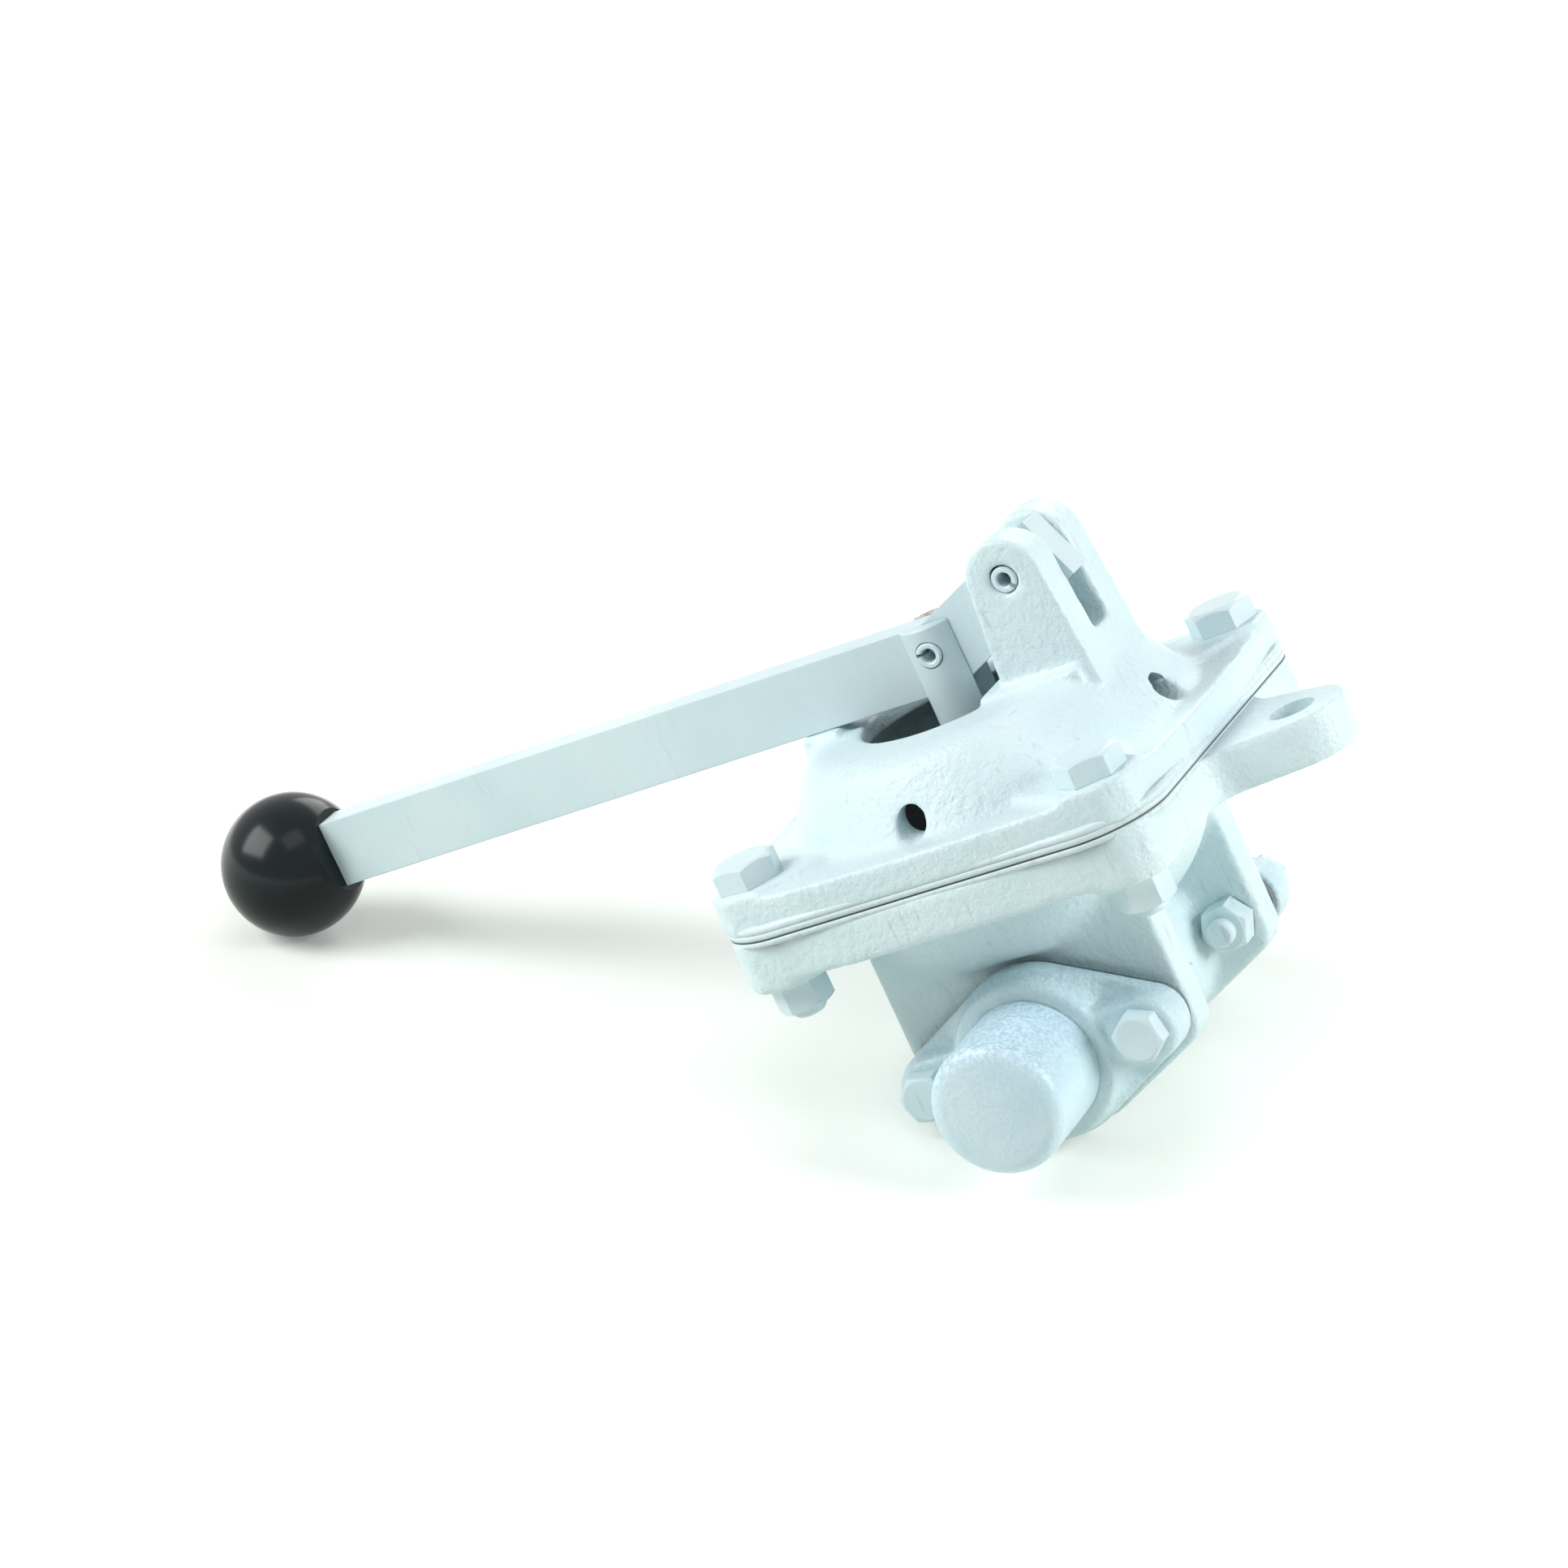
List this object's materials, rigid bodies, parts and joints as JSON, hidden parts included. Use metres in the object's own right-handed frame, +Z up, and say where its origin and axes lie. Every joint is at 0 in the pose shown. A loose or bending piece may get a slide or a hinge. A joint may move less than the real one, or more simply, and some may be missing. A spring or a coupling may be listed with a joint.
{
  "type": "manual diaphragm bilge pump",
  "caption": "Hand-worked marine bilge pump: a cranked lever lifts a pull rod and rubber diaphragm in a cast two-part casing with flanged side ports.",
  "frame": {"origin": "centre of the mounting lug's hole, on the lug's upper face", "axes": "+X from the pump's axis to the lug, with the handle to -X; +Z up the pull rod; the outlet faces -Y and the inlet +Y"},
  "size_m": [0.446, 0.212, 0.204],
  "materials": {
    "cast_paint": "satin",
    "smooth_paint": "satin",
    "lever_paint": "satin",
    "black_gloss": "gloss",
    "rubber": "matte",
    "gasket": "matte",
    "plated_steel": "satin",
    "bronze": "satin"
  },
  "bodies": {
    "casing": {"top_cover": "cast_paint", "lower_casing": "cast_paint", "casing_bowl": "cast_paint", "valve_chest": "cast_paint", "diaphragm": "rubber", "pivot_pin": "smooth_paint", "cover_bolts": "smooth_paint", "cover_nuts": "smooth_paint", "outlet_plate": "cast_paint", "outlet_seat": "bronze", "outlet_hinge_pin": "plated_steel", "outlet_gasket": "gasket", "outlet_flange": "cast_paint", "outlet_pipe": "smooth_paint", "outlet_cap": "smooth_paint", "outlet_bolts": "smooth_paint", "outlet_nuts": "smooth_paint", "inlet_plate": "cast_paint", "inlet_seat": "bronze", "inlet_hinge_pin": "plated_steel", "inlet_gasket": "gasket", "inlet_flange": "cast_paint", "inlet_pipe": "smooth_paint", "inlet_cap": "smooth_paint", "inlet_bolts": "smooth_paint", "inlet_nuts": "smooth_paint"},
    "lever": {"lever": "lever_paint", "ball_knob": "black_gloss"},
    "rod": {"pull_rod": "smooth_paint", "rod_pin": "smooth_paint", "upper_plate": "plated_steel", "lower_plate": "plated_steel", "rod_washer": "plated_steel", "rod_nut": "plated_steel"},
    "outlet_valve": {"outlet_clack": "plated_steel", "outlet_facing": "rubber"},
    "inlet_valve": {"inlet_clack": "plated_steel", "inlet_facing": "rubber"}
  },
  "joints": [
    {"name": "lever_pivot", "type": "hinge", "parent": "casing", "child": "lever", "pos_m": [-0.069, 0, 0.0795], "axis": [0, 1, 0], "range_deg": [0, 46], "deforming": ["diaphragm"]},
    {"name": "rod_link", "type": "hinge", "parent": "lever", "child": "rod", "pos_m": [-0.113, 0, 0.06], "axis": [0, 1, 0], "range_deg": [-46, 0], "deforming": ["diaphragm"]},
    {"name": "outlet_hinge", "type": "hinge", "parent": "casing", "child": "outlet_valve", "pos_m": [-0.113, -0.0485, -0.0595], "axis": [1, 0, 0], "range_deg": [-30, 0]},
    {"name": "inlet_hinge", "type": "hinge", "parent": "casing", "child": "inlet_valve", "pos_m": [-0.113, 0.0365, -0.0595], "axis": [1, 0, 0], "range_deg": [-30, 0]}
  ],
  "couplings": [
    {"joint": "rod_link", "follows": "lever_pivot", "ratio": -1}
  ]
}
